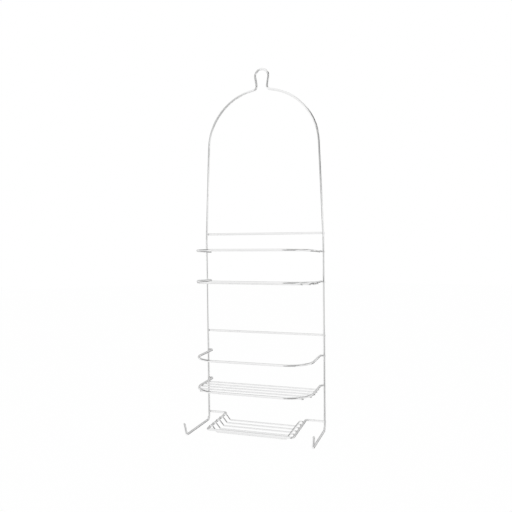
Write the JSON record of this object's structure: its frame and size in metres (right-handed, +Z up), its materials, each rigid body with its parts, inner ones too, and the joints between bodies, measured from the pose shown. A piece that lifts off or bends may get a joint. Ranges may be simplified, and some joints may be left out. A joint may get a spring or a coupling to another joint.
{
  "type": "shower caddy",
  "caption": "Hanging wire shower caddy: arched frame with a keyhole loop, wire shelves with guard rails, a wire soap dish and upturned front hooks, chrome plated.",
  "frame": {"origin": "centre of the hanging loop, on the axis of the shower arm that it hangs on", "axes": "+Z up, +X to the right as seen from the front, +Y back towards the wall; the shelves face -Y"},
  "size_m": [0.2389, 0.1147, 0.6744],
  "materials": {
    "heavy_wire": "bright chrome plating on 4 mm steel wire",
    "thin_wire": "bright chrome plating on 2.6 mm steel wire",
    "weld_bead": "chrome plating over a resistance weld"
  },
  "bodies": {
    "root": {"frame_wire": "heavy_wire", "upper_crossbar": "heavy_wire", "lower_crossbar": "heavy_wire", "upper_basket_rail": "heavy_wire", "upper_shelf_rim": "heavy_wire", "lower_basket_rail": "heavy_wire", "lower_shelf_rim": "heavy_wire", "soap_dish_rim": "heavy_wire", "upper_shelf_wire_1": "thin_wire", "upper_shelf_wire_2": "thin_wire", "upper_shelf_wire_3": "thin_wire", "upper_shelf_wire_4": "thin_wire", "upper_shelf_wire_5": "thin_wire", "lower_shelf_wire_1": "thin_wire", "lower_shelf_wire_2": "thin_wire", "lower_shelf_wire_3": "thin_wire", "lower_shelf_wire_4": "thin_wire", "lower_shelf_wire_5": "thin_wire", "soap_dish_wire_1": "thin_wire", "soap_dish_wire_2": "thin_wire", "soap_dish_wire_3": "thin_wire", "soap_dish_wire_4": "thin_wire", "soap_dish_wire_5": "thin_wire", "crossbar_welds": "weld_bead", "upper_basket_welds": "weld_bead", "upper_shelf_welds": "weld_bead", "lower_basket_welds": "weld_bead", "lower_shelf_welds": "weld_bead", "soap_dish_rim_welds": "weld_bead", "soap_dish_wire_welds": "weld_bead"}
  },
  "joints": []
}
